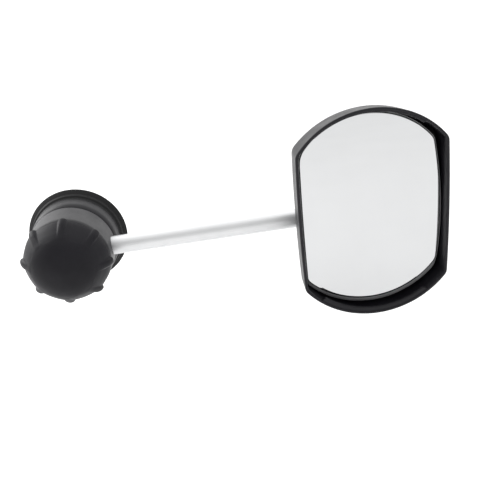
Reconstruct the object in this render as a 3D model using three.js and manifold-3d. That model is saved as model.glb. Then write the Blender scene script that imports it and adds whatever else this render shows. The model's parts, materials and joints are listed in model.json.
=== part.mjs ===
// Towing mirror on a suction mount, in millimetres.
//
// Every piece is drawn in the frame of the suction cup: the origin is the centre of the pad's flat face,
// +Z is the cup's axis through the knob, and +X runs along the arm to the mirror head. The finished
// assembly is then stood up, so that the glass faces -Y, the suction face faces +Y and +Z is up.
import * as THREE from "three";
import { mergeVertices } from "three/addons/utils/BufferGeometryUtils.js";
import Module from "manifold-3d";

const wasm = await Module();
wasm.setup();

// Driving dimensions of the suction mount
const PAD_RADIUS = 44.5;
const PAD_FLOOR = 3.0; // thickness of the pad under the lift plate
const SHELL_RADIUS = 38.6;
const SHELL_TOP = 26.4;
const DRUM_RADIUS = 36.8;
const DRUM_BOTTOM = 28.3;
const DRUM_TOP = 58.2;
const HUB_RADIUS = 12;
const HUB_BORE = 7.2;
const STUD_RADIUS = 4.85;
const STUD_TOP = 70;
const STUD_SQUARE = 9; // side of the neck that keeps the stud from turning
const PLATE_SCREW_ANGLES = [100, 180, 260];
const PLATE_SCREW_CIRCLE = 24;

// Driving dimensions of the knob
const KNOB_BASE = 58.8;
const KNOB_RADIUS = 35.3;
const LOBE_COUNT = 8;
const LOBE_HEIGHT = 2.7;
const LOBE_HALF_ANGLE = 7.5; // degrees
const LOBE_PHASE = -8; // degrees from +X to the first lobe
const NUT_FLATS = 16;
const NUT_HEIGHT = 8;

// Driving dimensions of the arm
const ARM_HEIGHT = 38.2; // arm axis above the suction face
const TUBE_RADIUS = 8;
const TUBE_WALL = 1.5;
const TUBE_START = 14.2;
const TUBE_PIN_X = 25;
const SPINDLE_PIN_X = 218;

// Driving dimensions of the ball joint, along X from the ball's centre
const BALL_X = 254;
const BALL_RADIUS = 9.5;
const BALL_FLAT = 7;
const SPINDLE_RADIUS = 3.6;
const NECK_RADIUS = 5.6;
const FLANGE_START = -22;
const FLANGE_END = -20;
const COUNTERBORE = 3.5; // where the recess for the washer starts
const LINER_INNER = 9.8;
const LINER_OUTER = 11.0;
const SOCKET_INNER = 11.3;
const WINDOW_ANGLE = 44; // half angle of the socket's opening towards the arm
const SOCKET_HALF = { back: -16, front: 18, side: 23 };
const CLAMP_POINTS = [[-10, 17], [12, 17], [12, -17], [-10, -17]];
const BASE_SCREW_POINTS = [[1, 17.5], [14.3, 0], [1, -17.5]];

// Driving dimensions of the head, across the glass from the head's centre
const HEAD_RAISE = 7.3; // head centre above the arm axis
const HEAD_TURN = -0.8; // degrees that the head is turned on its ball
const RIM_Z = 82;
const DECK_Z = 51.8;
const CASE_WALL = 3;
const LIP_HALF_WIDTH = 42.7;
const LIP_MIDDLE = -1.9; // x of the middle of each lip
const TOP_LIP = 1.1; // how far the lip inside the top arc stands in from the wall
const BOTTOM_LIP = 3.5;
const GLASS_RADIUS = 1400; // curvature of the convex glass
const GLASS_RAISE = 3.3; // the glass sits above the head's centre, over a wider lower border
const ARC_PEAK = -2.5; // x of the highest and lowest points of the glass
const SIDE_MIDDLE = -3.45; // height at which the glass is widest
const LEFT_BOW = 2000;
const GLASS_TOP = 74.1;
const GLASS_THICKNESS = 2.2;
const CARRIER_TOP = 70.6;
const CARRIER_THICKNESS = 2.5;
const CARRIER_SCREW_POINTS = [[38, 45], [-38, 45], [-38, -45], [38, -45]];

const GAP = 0.3; // clearance between pieces that touch
const ROUND = 40; // facets of a large round piece
const SMALL = 10; // facets of a fastener

const finishes = {
  rubber: { color: 0x19191a, roughness: 0.8, metalness: 0 },
  plastic: { color: 0x141415, roughness: 0.42, metalness: 0 },
  carrier: { color: 0x1d1d1f, roughness: 0.5, metalness: 0 },
  aluminium: { color: 0xc8cacd, roughness: 0.38, metalness: 1 },
  steel: { color: 0xa9abad, roughness: 0.35, metalness: 1 },
  nylon: { color: 0xdedccf, roughness: 0.5, metalness: 0 },
  foam: { color: 0x2b2b2b, roughness: 0.95, metalness: 0 },
  mirror: { color: 0xe6e9ea, roughness: 0.04, metalness: 1 },
};

const radians = THREE.MathUtils.degToRad;

// ---- solids ----

/** Leaves position only, merges shared vertices, drops flat faces and points every face outwards. */
function weld(source) {
  const geometry = source.clone();
  geometry.deleteAttribute("normal");
  geometry.deleteAttribute("uv");
  const merged = mergeVertices(geometry, 1e-4);
  const index = merged.index.array;
  const kept = [];
  for (let i = 0; i < index.length; i += 3) {
    const [a, b, c] = [index[i], index[i + 1], index[i + 2]];
    if (a !== b && b !== c && c !== a) {
      kept.push(a, b, c);
    }
  }
  merged.setIndex(signedVolume(merged, kept) < 0 ? kept.reverse() : kept);
  return merged;
}

function signedVolume(geometry, index) {
  const [a, b, c] = [new THREE.Vector3(), new THREE.Vector3(), new THREE.Vector3()];
  let volume = 0;
  for (let i = 0; i < index.length; i += 3) {
    a.fromBufferAttribute(geometry.attributes.position, index[i]);
    b.fromBufferAttribute(geometry.attributes.position, index[i + 1]);
    c.fromBufferAttribute(geometry.attributes.position, index[i + 2]);
    volume += a.dot(b.cross(c)) / 6;
  }
  return volume;
}

function solid(source) {
  const geometry = weld(source);
  return new wasm.Manifold(new wasm.Mesh({
    numProp: 3,
    vertProperties: new Float32Array(geometry.attributes.position.array),
    triVerts: new Uint32Array(geometry.index.array),
  }));
}

function geometryOf(body) {
  const mesh = body.getMesh();
  const geometry = new THREE.BufferGeometry();
  geometry.setAttribute("position", new THREE.BufferAttribute(new Float32Array(mesh.vertProperties), 3));
  geometry.setIndex(Array.from(mesh.triVerts));
  return geometry;
}

function cutAll(body, tools) {
  return tools.reduce((rest, tool) => rest.subtract(solid(tool)), body);
}

function joinAll(body, pieces) {
  return pieces.reduce((whole, piece) => whole.add(solid(piece)), body);
}

/** A piece turned about Z from a profile of [radius, height] points; a bored profile closes on itself. */
function turned(profile, segments = ROUND) {
  const points = profile.map(([r, z]) => new THREE.Vector2(r, z));
  const [first, last] = [points[0], points[points.length - 1]];
  if (first.x > 0 || last.x > 0) {
    points.push(first.clone());
  }
  return new THREE.LatheGeometry(points, segments).rotateX(Math.PI / 2);
}

/** The same, turned about the arm's axis, with the heights measured along X. */
function turnedOnArm(profile, segments = 24) {
  return turned(profile, segments).rotateY(Math.PI / 2).translate(0, 0, ARM_HEIGHT);
}

/** The same, with the heights measured along X from the ball's centre. */
function turnedOnBall(profile, segments = 24) {
  return turnedOnArm(profile, segments).translate(BALL_X, 0, 0);
}

function rod(radius, low, high, x = 0, y = 0, segments = SMALL) {
  return new THREE.CylinderGeometry(radius, radius, high - low, segments)
    .rotateX(Math.PI / 2)
    .translate(x, y, (low + high) / 2);
}

function rodOnArm(radius, start, end, segments = 24) {
  return new THREE.CylinderGeometry(radius, radius, end - start, segments)
    .rotateZ(Math.PI / 2)
    .translate((start + end) / 2, 0, ARM_HEIGHT);
}

function block(x0, x1, y0, y1, z0, z1) {
  return new THREE.BoxGeometry(x1 - x0, y1 - y0, z1 - z0)
    .translate((x0 + x1) / 2, (y0 + y1) / 2, (z0 + z1) / 2);
}

function hexagon(flats, low, high, x = 0, y = 0) {
  return rod(flats / Math.sqrt(3), low, high, x, y, 6);
}

function screw({ x, y, headRadius, headLow, headHigh, shankRadius, shankLow, shankHigh }) {
  const head = solid(rod(headRadius, headLow, headHigh, x, y));
  return geometryOf(joinAll(head, [rod(shankRadius, shankLow, shankHigh, x, y)]));
}

/** Skins a list of rings that all have the same number of points, with a point at each end. */
function loft(rings, startPoint, endPoint) {
  const count = rings[0].length;
  const positions = rings.flat().flatMap((p) => [p.x, p.y, p.z]);
  const index = [];
  for (let ring = 0; ring + 1 < rings.length; ring += 1) {
    for (let i = 0; i < count; i += 1) {
      const [a, b] = [ring * count + i, ring * count + ((i + 1) % count)];
      index.push(a, b, b + count, a, b + count, a + count);
    }
  }
  const start = rings.length * count;
  const lastRing = (rings.length - 1) * count;
  positions.push(startPoint.x, startPoint.y, startPoint.z, endPoint.x, endPoint.y, endPoint.z);
  for (let i = 0; i < count; i += 1) {
    const next = (i + 1) % count;
    index.push(start, next, i, start + 1, lastRing + i, lastRing + next);
  }
  const geometry = new THREE.BufferGeometry();
  geometry.setAttribute("position", new THREE.Float32BufferAttribute(positions, 3));
  geometry.setIndex(index);
  return geometry;
}

function mesh(name, shape, finish) {
  const geometry = shape instanceof THREE.BufferGeometry ? weld(shape) : geometryOf(shape);
  geometry.computeVertexNormals();
  const piece = new THREE.Mesh(geometry, new THREE.MeshStandardMaterial(finishes[finish]));
  piece.name = name;
  return piece;
}

// ---- outlines across the cup's axis ----

/** Points of an arc about a centre, the last one left out. */
function arcPoints(centre, radius, from, to, count) {
  return Array.from({ length: count }, (_, i) => {
    const angle = from + ((to - from) * i) / count;
    return new THREE.Vector2(centre.x + radius * Math.cos(angle), centre.y + radius * Math.sin(angle));
  });
}

/**
 * A quarter of an outline, from the side up to the arc's peak: an arc that meets the side at the height
 * shoulder, a side bowed to the radius bow, and the corner between them rounded to the radius corner.
 */
function quarterOutline({ w, h, shoulder, bow, corner }) {
  const rise = h - shoulder;
  const arcRadius = (w * w + rise * rise) / (2 * rise);
  const arcCentre = new THREE.Vector2(0, h - arcRadius);
  const sideCentre = new THREE.Vector2(w - bow, 0);
  const [r0, r1] = [arcRadius - corner, bow - corner];
  const between = sideCentre.clone().sub(arcCentre);
  const distance = between.length();
  const along = (distance * distance + r0 * r0 - r1 * r1) / (2 * distance);
  const across = Math.sqrt(r0 * r0 - along * along);
  const unit = between.clone().divideScalar(distance);
  const cornerCentre = new THREE.Vector2(
    arcCentre.x + unit.x * along + unit.y * across,
    arcCentre.y + unit.y * along - unit.x * across,
  );
  const arcEnd = Math.atan2(cornerCentre.y - arcCentre.y, cornerCentre.x - arcCentre.x);
  const sideStart = Math.atan2(cornerCentre.y - sideCentre.y, cornerCentre.x - sideCentre.x);
  return [
    ...arcPoints(sideCentre, bow, 0, sideStart, 2),
    ...arcPoints(cornerCentre, corner, sideStart, arcEnd, 3),
    ...arcPoints(arcCentre, arcRadius, arcEnd, Math.PI / 2, 6),
    new THREE.Vector2(0, h),
  ];
}

/** An outline of four quarters, anticlockwise from the upper right one, round the point (x, y). */
function joinedOutline(quarters, x, y) {
  return quarters.flatMap((shape, turn) => {
    const [signX, signY] = [turn % 3 ? -1 : 1, turn < 2 ? 1 : -1];
    const quarter = quarterOutline(shape).map((p) => new THREE.Vector2(x + signX * p.x, y + signY * p.y));
    return turn % 2 ? quarter.reverse().slice(0, -1) : quarter.slice(0, -1);
  });
}

function headOutline(shape) {
  return joinedOutline([shape, shape, shape, shape], 0, 0);
}

/** Drop of the convex glass, and of what lies under it, at a point across the head. */
function sag(x, y) {
  return (x * x + (y - GLASS_RAISE) ** 2) / (2 * GLASS_RADIUS);
}

function levelRing(outline, z, curved = false) {
  return outline.map((p) => new THREE.Vector3(p.x, p.y, curved ? z - sag(p.x, p.y) : z));
}

/** The outline shrunk towards the glass's centre. */
function scaled(outline, factor) {
  return outline.map((p) => new THREE.Vector2(p.x * factor, GLASS_RAISE + (p.y - GLASS_RAISE) * factor));
}

function roundedBlockOutline(x0, x1, side, corner) {
  const quarterTurn = Math.PI / 2;
  const corners = [
    [x1 - corner, side - corner, 0],
    [x0 + corner, side - corner, 1],
    [x0 + corner, corner - side, 2],
    [x1 - corner, corner - side, 3],
  ];
  return corners.flatMap(([x, y, turn]) => {
    const start = turn * quarterTurn;
    const rounded = arcPoints(new THREE.Vector2(x, y), corner, start, start + quarterTurn, 4);
    const end = new THREE.Vector2(x + corner * Math.cos(start + quarterTurn),
      y + corner * Math.sin(start + quarterTurn));
    return [...rounded, end];
  });
}

// ---- suction cup ----

function suctionPad() {
  return turned([
    [0, 0], [PAD_RADIUS - 0.7, 0], [PAD_RADIUS, 0.7], [PAD_RADIUS - 0.2, 1.6], [40.6, 4.4],
    [40.4, 6.2], [39.9, 6.8], [38.9, 7.2], [38.2, 8.0], [38.2, 11.0], [35.9, 11.0], [35.9, 5.6],
    [15.0, 3.6], [13.8, PAD_FLOOR], [0, PAD_FLOOR],
  ]);
}

function cupShell() {
  const skirt = 35.6;
  const body = solid(turned([
    [11, 12], [11, 23.4], [33.2, 23.4], [33.2, 6.6], [skirt, 6.6], [skirt, 11.3], [38.3, 11.3],
    [SHELL_RADIUS, 12.4], [38.3, 20.5], [37.9, 24.0], [37.0, 25.7], [35.4, SHELL_TOP],
    [4.8, SHELL_TOP], [4.8, 12],
  ]));
  const half = STUD_SQUARE / 2 + 0.4;
  return cutAll(body, [block(-half, half, -half, half, 0, 40)]);
}

function pivotWasher() {
  const [low, high] = [SHELL_TOP + GAP, DRUM_BOTTOM - GAP];
  return turned([[14, low], [21, low], [21, high], [14, high]]);
}

function liftStud() {
  const body = solid(turned([
    [0, 3.4], [3.2, 3.4], [3.2, 5.6], [6.2, 5.6], [6.2, 7.8], [STUD_RADIUS, 7.8],
    [STUD_RADIUS, STUD_TOP - 1], [STUD_RADIUS - 0.8, STUD_TOP], [0, STUD_TOP],
  ], 24));
  const half = STUD_SQUARE / 2;
  return joinAll(body, [block(-half, half, -half, half, 7.6, 24.6)]);
}

function liftPlate() {
  return turned([[3.5, 3.3], [13, 3.3], [13, 5.3], [3.5, 5.3]], 24);
}

// ---- arm housing ----

function onPlateCircle(degrees) {
  const angle = radians(degrees);
  return [PLATE_SCREW_CIRCLE * Math.cos(angle), PLATE_SCREW_CIRCLE * Math.sin(angle)];
}

function armHousing() {
  const ceiling = DRUM_TOP - CASE_WALL;
  const drum = solid(turned([
    [DRUM_RADIUS - 0.5, DRUM_BOTTOM], [DRUM_RADIUS, DRUM_BOTTOM + 0.6], [DRUM_RADIUS - 0.1, 34],
    [DRUM_RADIUS - 0.6, 50], [DRUM_RADIUS - 0.9, 55.6], [35.3, 57.4], [34.0, DRUM_TOP],
    [HUB_BORE, DRUM_TOP], [HUB_BORE, DRUM_BOTTOM], [HUB_RADIUS, DRUM_BOTTOM], [HUB_RADIUS, ceiling],
    [33.4, ceiling], [34.0, ceiling - 0.8], [34.0, DRUM_BOTTOM],
  ]));
  const socket = cutAll(solid(rodOnArm(10.6, 11, 35.6, 24)), [block(0, 40, -20, 20, 0, DRUM_BOTTOM)]);
  const screwBosses = PLATE_SCREW_ANGLES.map((angle) => rod(4, 31, ceiling + 0.4, ...onPlateCircle(angle)));
  return cutAll(joinAll(drum.add(socket), screwBosses), [
    rodOnArm(TUBE_RADIUS + 0.25, TUBE_START - GAP, 45),
    rod(HUB_BORE, 0, 80, 0, 0, ROUND),
    rod(2.2, 0, 50, TUBE_PIN_X),
    ...PLATE_SCREW_ANGLES.map((angle) => rod(1.75, 30.5, 45, ...onPlateCircle(angle))),
  ]);
}

function housingPlate() {
  const [low, high] = [DRUM_BOTTOM + GAP, DRUM_BOTTOM + 2.3];
  const disc = solid(turned([
    [HUB_RADIUS + GAP, low], [33.6, low], [33.6, high], [HUB_RADIUS + GAP, high],
  ]));
  return cutAll(disc, [
    block(11, 40, -11.2, 11.2, 0, 40),
    ...PLATE_SCREW_ANGLES.map((angle) => rod(1.8, 0, 40, ...onPlateCircle(angle))),
    ...PLATE_SCREW_ANGLES.map((angle) => rod(3.6, 0, low + 1.2, ...onPlateCircle(angle))),
  ]);
}

function plateScrew(angle) {
  const [x, y] = onPlateCircle(angle);
  return screw({
    x, y, headRadius: 3.2, headLow: 28.6, headHigh: 29.5, shankRadius: 1.45, shankLow: 29, shankHigh: 42,
  });
}

// ---- knob ----

/** Height of a lobe at an angle round the knob, from 0 between the lobes to 1 on a crest. */
function lobeShape(angle) {
  const pitch = (2 * Math.PI) / LOBE_COUNT;
  const fromCrest = ((((angle - radians(LOBE_PHASE)) / pitch) % 1) + 1.5) % 1 - 0.5;
  const t = (fromCrest * pitch) / radians(LOBE_HALF_ANGLE);
  return Math.abs(t) < 1 ? Math.cos((t * Math.PI) / 2) : 0;
}

function knobRing(z, radius, lobe) {
  const count = 64;
  return Array.from({ length: count }, (_, i) => {
    const angle = (2 * Math.PI * i) / count + radians(LOBE_PHASE);
    const r = radius + lobe * lobeShape(angle);
    return new THREE.Vector3(r * Math.cos(angle), r * Math.sin(angle), z);
  });
}

function knobBody() {
  const outside = [
    [KNOB_BASE, KNOB_RADIUS - 0.4, LOBE_HEIGHT - 0.3], [59.6, KNOB_RADIUS, LOBE_HEIGHT],
    [62, 34.2, 2.5], [65.2, 32.7, 2.1], [68.6, 31.0, 1.4], [72.3, 28.8, 0.7], [76, 25.8, 0.2],
    [79.5, 21.4, 0], [82.8, 15, 0], [85.0, 7.6, 0],
  ];
  const inside = [
    [76, 5.8, 0], [60.4, 5.8, 0], [60.4, 13, 0], [79.2, 13, 0], [77.2, 18.6, 0], [70, 26.8, 0],
    [KNOB_BASE, 32.2, 0],
  ];
  const rings = [...inside, ...outside].map(([z, radius, lobe]) => knobRing(z, radius, lobe));
  const body = solid(loft(rings, new THREE.Vector3(0, 0, 76), new THREE.Vector3(0, 0, 85.9)));
  return cutAll(body, [hexagon(NUT_FLATS + 0.6, 55, 60.2 + NUT_HEIGHT + GAP)]);
}

function knobNut() {
  return cutAll(solid(hexagon(NUT_FLATS, 60.2, 60.2 + NUT_HEIGHT)), [rod(5.2, 50, 80, 0, 0, 24)]);
}

function thrustWasher() {
  return turned([[5.3, 58.5], [11.8, 58.5], [11.8, 59.9], [5.3, 59.9]], 24);
}

// ---- arm ----

function armTube() {
  const end = BALL_X + FLANGE_START - GAP;
  const inner = TUBE_RADIUS - TUBE_WALL;
  const body = solid(turnedOnArm([
    [inner, TUBE_START], [TUBE_RADIUS - 0.3, TUBE_START], [TUBE_RADIUS, TUBE_START + 0.3],
    [TUBE_RADIUS, end - 0.3], [TUBE_RADIUS - 0.3, end], [inner, end],
  ]));
  return cutAll(body, [rod(2.2, 20, 60, TUBE_PIN_X), rod(1.65, 20, 60, SPINDLE_PIN_X)]);
}

function ballSpindle() {
  const body = solid(turnedOnBall([
    [0, -50], [5.6, -50], [6.2, -49.4], [6.2, FLANGE_START], [TUBE_RADIUS - 0.1, FLANGE_START],
    [TUBE_RADIUS - 0.1, FLANGE_END], [NECK_RADIUS + 1, FLANGE_END], [NECK_RADIUS, FLANGE_END + 1.2],
    [NECK_RADIUS, -13.5], [4.5, -11.4], [4.5, -BALL_FLAT - GAP], [SPINDLE_RADIUS, -BALL_FLAT - GAP],
    [SPINDLE_RADIUS, COUNTERBORE - 0.2], [2.2, COUNTERBORE - 0.2], [2.2, -6.5], [0, -6.5],
  ]));
  return cutAll(body, [rod(1.65, 20, 60, SPINDLE_PIN_X)]);
}

function pivotBall() {
  const flatRadius = Math.sqrt(BALL_RADIUS ** 2 - BALL_FLAT ** 2);
  const edge = Math.atan2(BALL_FLAT, flatRadius);
  const steps = 8;
  const sphere = Array.from({ length: steps + 1 }, (_, i) => {
    const angle = -edge + (2 * edge * i) / steps;
    return [BALL_RADIUS * Math.cos(angle), BALL_RADIUS * Math.sin(angle)];
  });
  const bore = SPINDLE_RADIUS + GAP;
  return turnedOnBall([
    [bore, -BALL_FLAT], ...sphere, [6.0, BALL_FLAT], [6.0, COUNTERBORE], [bore, COUNTERBORE],
  ]);
}

function spindleWasher() {
  const [start, end] = [COUNTERBORE + GAP, COUNTERBORE + 1.2];
  return turnedOnBall([[2.4, start], [5.4, start], [5.4, end], [2.4, end]], 16);
}

function spindleScrew() {
  const head = COUNTERBORE + 1.5;
  return turnedOnBall([[0, -5], [1.9, -5], [1.9, head], [4.2, head], [4.2, head + 1.9], [0, head + 1.9]], 12);
}

// ---- ball joint ----

function sphereAtBall(radius, columns = 24, rows = 12) {
  return new THREE.SphereGeometry(radius, columns, rows).rotateX(Math.PI / 2).translate(BALL_X, 0, ARM_HEIGHT);
}

/** A cone from the ball's centre, opening towards -X or +X. */
function windowCone(direction, halfAngle, length = 40) {
  const radius = length * Math.tan(radians(halfAngle));
  return new THREE.ConeGeometry(radius, length, 24)
    .rotateZ((direction * Math.PI) / 2)
    .translate(BALL_X + (direction * length) / 2, 0, ARM_HEIGHT);
}

function linerHalf(side) {
  const shell = cutAll(solid(sphereAtBall(LINER_OUTER)), [
    sphereAtBall(LINER_INNER),
    windowCone(-1, WINDOW_ANGLE - 2),
    windowCone(1, 30),
  ]);
  const split = ARM_HEIGHT + side * 0.2;
  const [low, high] = side > 0 ? [split, split + 30] : [split - 30, split];
  return shell.intersect(solid(block(BALL_X - 30, BALL_X + 30, -30, 30, low, high)));
}

function socketOutline(inset) {
  const { back, front, side } = SOCKET_HALF;
  return roundedBlockOutline(BALL_X + back + inset, BALL_X + front - inset, side - inset, 7 - inset);
}

/** A block with the socket's rounded plan, from [height, inset] levels. */
function socketBlock(levels) {
  const rings = levels.map(([z, inset]) => levelRing(socketOutline(inset), z));
  const centre = (z) => new THREE.Vector3(BALL_X + 1, 0, z);
  return solid(loft(rings, centre(levels[0][0]), centre(levels[levels.length - 1][0])));
}

function clampTools(low, high, radius) {
  return CLAMP_POINTS.map(([x, y]) => rod(radius, low, high, BALL_X + x, y));
}

function socketBase() {
  const top = DECK_Z - GAP;
  return cutAll(socketBlock([[ARM_HEIGHT + 0.2, 0], [top, 0]]), [
    sphereAtBall(SOCKET_INNER),
    windowCone(-1, WINDOW_ANGLE),
    ...clampTools(0, 70, 2.35),
    ...CLAMP_POINTS.map(([x, y]) => hexagon(7.5, top - 3.5, 60, BALL_X + x, y)),
    ...BASE_SCREW_POINTS.map(([x, y]) => rod(1.8, 42, 60, BALL_X + x, y)),
  ]);
}

function socketCap() {
  return cutAll(socketBlock([[24.4, 4.5], [26.2, 2], [29.4, 0], [ARM_HEIGHT - 0.2, 0]]), [
    sphereAtBall(SOCKET_INNER),
    windowCone(-1, WINDOW_ANGLE),
    ...clampTools(0, 70, 2.35),
    ...clampTools(0, 29, 3.8),
  ]);
}

function clampScrew([x, y]) {
  return screw({
    x: BALL_X + x, y, headRadius: 3.5, headLow: 26.0, headHigh: 28.7,
    shankRadius: 2.0, shankLow: 27, shankHigh: 51.0,
  });
}

function clampNut([x, y]) {
  const top = DECK_Z - GAP;
  const nut = solid(hexagon(7, top - 3.2, top - 0.1, BALL_X + x, y));
  return cutAll(nut, [rod(2.3, 0, 70, BALL_X + x, y)]);
}

function baseScrew([x, y]) {
  const head = DECK_Z + CASE_WALL + GAP;
  return screw({
    x: BALL_X + x, y, headRadius: 3.3, headLow: head, headHigh: head + 2,
    shankRadius: 1.45, shankLow: 44, shankHigh: head + 1,
  });
}

// ---- mirror head, drawn about the head's own centre ----

const CASE_BOW = 1500;

function caseRing([z, w, h, shoulder, corner]) {
  return levelRing(headOutline({ w, h, shoulder, bow: CASE_BOW, corner }), z);
}

function caseShell() {
  const outside = [
    [DECK_Z, 26, 36, 24, 8], [54.3, 40, 56, 37.5, 9], [56.1, 51, 71.5, 47.8, 10],
    [57.4, 57.6, 81, 54, 10], [58.2, 60.0, 84.5, 56.4, 10], [59.2, 60.85, 85.9, 57.2, 9.5],
    [80.7, 61.5, 88, 56.7, 8.5], [81.7, 61.1, 87.6, 56.5, 8.2], [RIM_Z, 60.5, 87.0, 56.2, 7.8],
  ];
  const inside = [
    [RIM_Z, 59.7, 86.1, 55.8, 7.2], [81.2, 59.0, 85.6, 55.8, 6.8], [63.4, 58.6, 85.1, 56.2, 7.5],
    [61.2, 57.6, 82.4, 54.6, 8.5], [59.2, 49.5, 69.5, 46, 9], [DECK_Z + CASE_WALL, 25, 35, 23, 8],
  ];
  const rings = [...outside, ...inside].map(caseRing);
  return loft(rings, new THREE.Vector3(0, 0, DECK_Z), new THREE.Vector3(0, 0, DECK_Z + CASE_WALL));
}

/** The lip inside the top arc of the rim, or inside the bottom arc with side -1. */
function lipBar(side, depth) {
  const [w, h, shoulder] = [59.0, 85.6, 55.8];
  const rise = h - shoulder;
  const radius = (w * w + rise * rise) / (2 * rise);
  const centreY = h - radius;
  const [inner, outer] = [radius - depth, radius + 0.5];
  const [innerEnd, outerEnd] = [Math.asin(LIP_HALF_WIDTH / inner), Math.asin((LIP_HALF_WIDTH + 1) / outer)];
  const middle = Math.PI / 2 - (side * LIP_MIDDLE) / inner;
  const shape = new THREE.Shape();
  shape.absarc(0, centreY, outer, middle - outerEnd, middle + outerEnd, false);
  shape.absarc(0, centreY, inner, middle + innerEnd, middle - innerEnd, true);
  const settings = { depth: 2.6, bevelEnabled: false, curveSegments: 8 };
  const bar = new THREE.ExtrudeGeometry(shape, settings).translate(0, 0, RIM_Z - 3.4);
  return side > 0 ? bar : bar.rotateZ(Math.PI);
}

function mirrorCase() {
  const posts = CARRIER_SCREW_POINTS.map(([x, y]) => rod(4, 56.6, 66.1, x, y));
  const body = joinAll(solid(caseShell()), [lipBar(1, TOP_LIP), lipBar(-1, BOTTOM_LIP), ...posts]);
  return cutAll(body, [
    ...CARRIER_SCREW_POINTS.map(([x, y]) => rod(1.75, 59.5, 70, x, y)),
    ...BASE_SCREW_POINTS.map(([x, y]) => rod(1.8, 45, 60, x, y - HEAD_RAISE)),
  ]);
}

/** Quarters of an outline round the peak of its arcs, which stands left of the head's centre. */
function offsetQuarters({ right, left, bow, corners, top, bottom, shoulders }) {
  const [upperRight, upperLeft, lowerLeft, lowerRight] = shoulders;
  const [toRight, toLeft] = [right - ARC_PEAK, left + ARC_PEAK];
  return [
    { w: toRight, h: top, shoulder: upperRight, bow, corner: corners[0] },
    { w: toLeft, h: top, shoulder: upperLeft, bow: LEFT_BOW, corner: corners[1] },
    { w: toLeft, h: bottom, shoulder: lowerLeft, bow: LEFT_BOW, corner: corners[2] },
    { w: toRight, h: bottom, shoulder: lowerRight, bow, corner: corners[3] },
  ];
}

const glassOutline = joinedOutline(offsetQuarters({
  right: 57.2, left: 57, top: 86.6, bottom: 73.6, bow: 342,
  corners: [10.5, 20, 8, 10.5], shoulders: [52, 56.8, 49.8, 40.6],
}), ARC_PEAK, SIDE_MIDDLE);
const carrierOutline = joinedOutline(offsetQuarters({
  right: 58.1, left: 58, top: 87.35, bottom: 77.9, bow: 343,
  corners: [11.5, 18, 8, 11.5], shoulders: [52.3, 57.1, 52.3, 46.8],
}), ARC_PEAK, SIDE_MIDDLE);

function onAxis(z) {
  return new THREE.Vector3(0, GLASS_RAISE, z);
}

function curvedRings(steps) {
  return steps.map(([outline, factor, z]) => levelRing(scaled(outline, factor), z, true));
}

function glassCarrier() {
  const bottom = CARRIER_TOP - CARRIER_THICKNESS;
  const rimTop = GLASS_TOP - 0.5;
  const rings = curvedRings([
    [carrierOutline, 0.5, bottom], [carrierOutline, 0.985, bottom], [carrierOutline, 1, bottom + 1],
    [carrierOutline, 1, rimTop - 1.4], [glassOutline, 1.011, rimTop], [glassOutline, 1.005, rimTop - 0.2],
    [glassOutline, 1.005, CARRIER_TOP], [glassOutline, 0.5, CARRIER_TOP],
  ]);
  const body = solid(loft(rings, onAxis(bottom), onAxis(CARRIER_TOP)));
  return cutAll(body, [
    ...CARRIER_SCREW_POINTS.map(([x, y]) => rod(1.75, 60, 80, x, y)),
    ...CARRIER_SCREW_POINTS.map(([x, y]) => rod(3.6, 68.1, 80, x, y)),
  ]);
}

function foamPad() {
  const [low, high] = [CARRIER_TOP + GAP, GLASS_TOP - GLASS_THICKNESS - GAP];
  const rings = curvedRings([
    [glassOutline, 0.5, low], [glassOutline, 0.95, low], [glassOutline, 0.95, high], [glassOutline, 0.5, high],
  ]);
  return loft(rings, onAxis(low), onAxis(high));
}

function mirrorGlass() {
  const low = GLASS_TOP - GLASS_THICKNESS;
  const rings = curvedRings([
    [glassOutline, 0.5, low], [glassOutline, 1, low], [glassOutline, 1, GLASS_TOP - 0.4],
    [glassOutline, 0.993, GLASS_TOP], [glassOutline, 0.66, GLASS_TOP], [glassOutline, 0.33, GLASS_TOP],
  ]);
  return loft(rings, onAxis(low), onAxis(GLASS_TOP));
}

function carrierScrew([x, y]) {
  return screw({
    x, y, headRadius: 3.1, headLow: 68.4, headHigh: 69.2, shankRadius: 1.4, shankLow: 60.5, shankHigh: 69,
  });
}

// ---- assembly ----

const numbered = (name, list, make, finish) =>
  list.map((place, i) => mesh(`${name}_${i + 1}`, make(place), finish));

const cup = new THREE.Group();
cup.add(
  mesh("suction_pad", suctionPad(), "rubber"),
  mesh("cup_shell", cupShell(), "plastic"),
  mesh("pivot_washer", pivotWasher(), "nylon"),
  mesh("lift_stud", liftStud(), "steel"),
  mesh("lift_plate", liftPlate(), "steel"),
);

const knob = new THREE.Group();
knob.add(
  mesh("knob_body", knobBody(), "plastic"),
  mesh("knob_nut", knobNut(), "steel"),
  mesh("thrust_washer", thrustWasher(), "steel"),
);

const arm = new THREE.Group();
arm.add(
  mesh("arm_housing", armHousing(), "plastic"),
  mesh("housing_plate", housingPlate(), "plastic"),
  ...numbered("plate_screw", PLATE_SCREW_ANGLES, plateScrew, "steel"),
  mesh("arm_tube", armTube(), "aluminium"),
  mesh("tube_pin", rod(1.9, 29.2, 49, TUBE_PIN_X), "steel"),
  mesh("ball_spindle", ballSpindle(), "steel"),
  mesh("spindle_pin", rod(1.35, 30.4, 46, SPINDLE_PIN_X), "steel"),
  mesh("spindle_washer", spindleWasher(), "steel"),
  mesh("spindle_screw", spindleScrew(), "steel"),
  mesh("pivot_ball", pivotBall(), "nylon"),
  mesh("liner_upper", linerHalf(1), "nylon"),
  mesh("liner_lower", linerHalf(-1), "nylon"),
);

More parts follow.
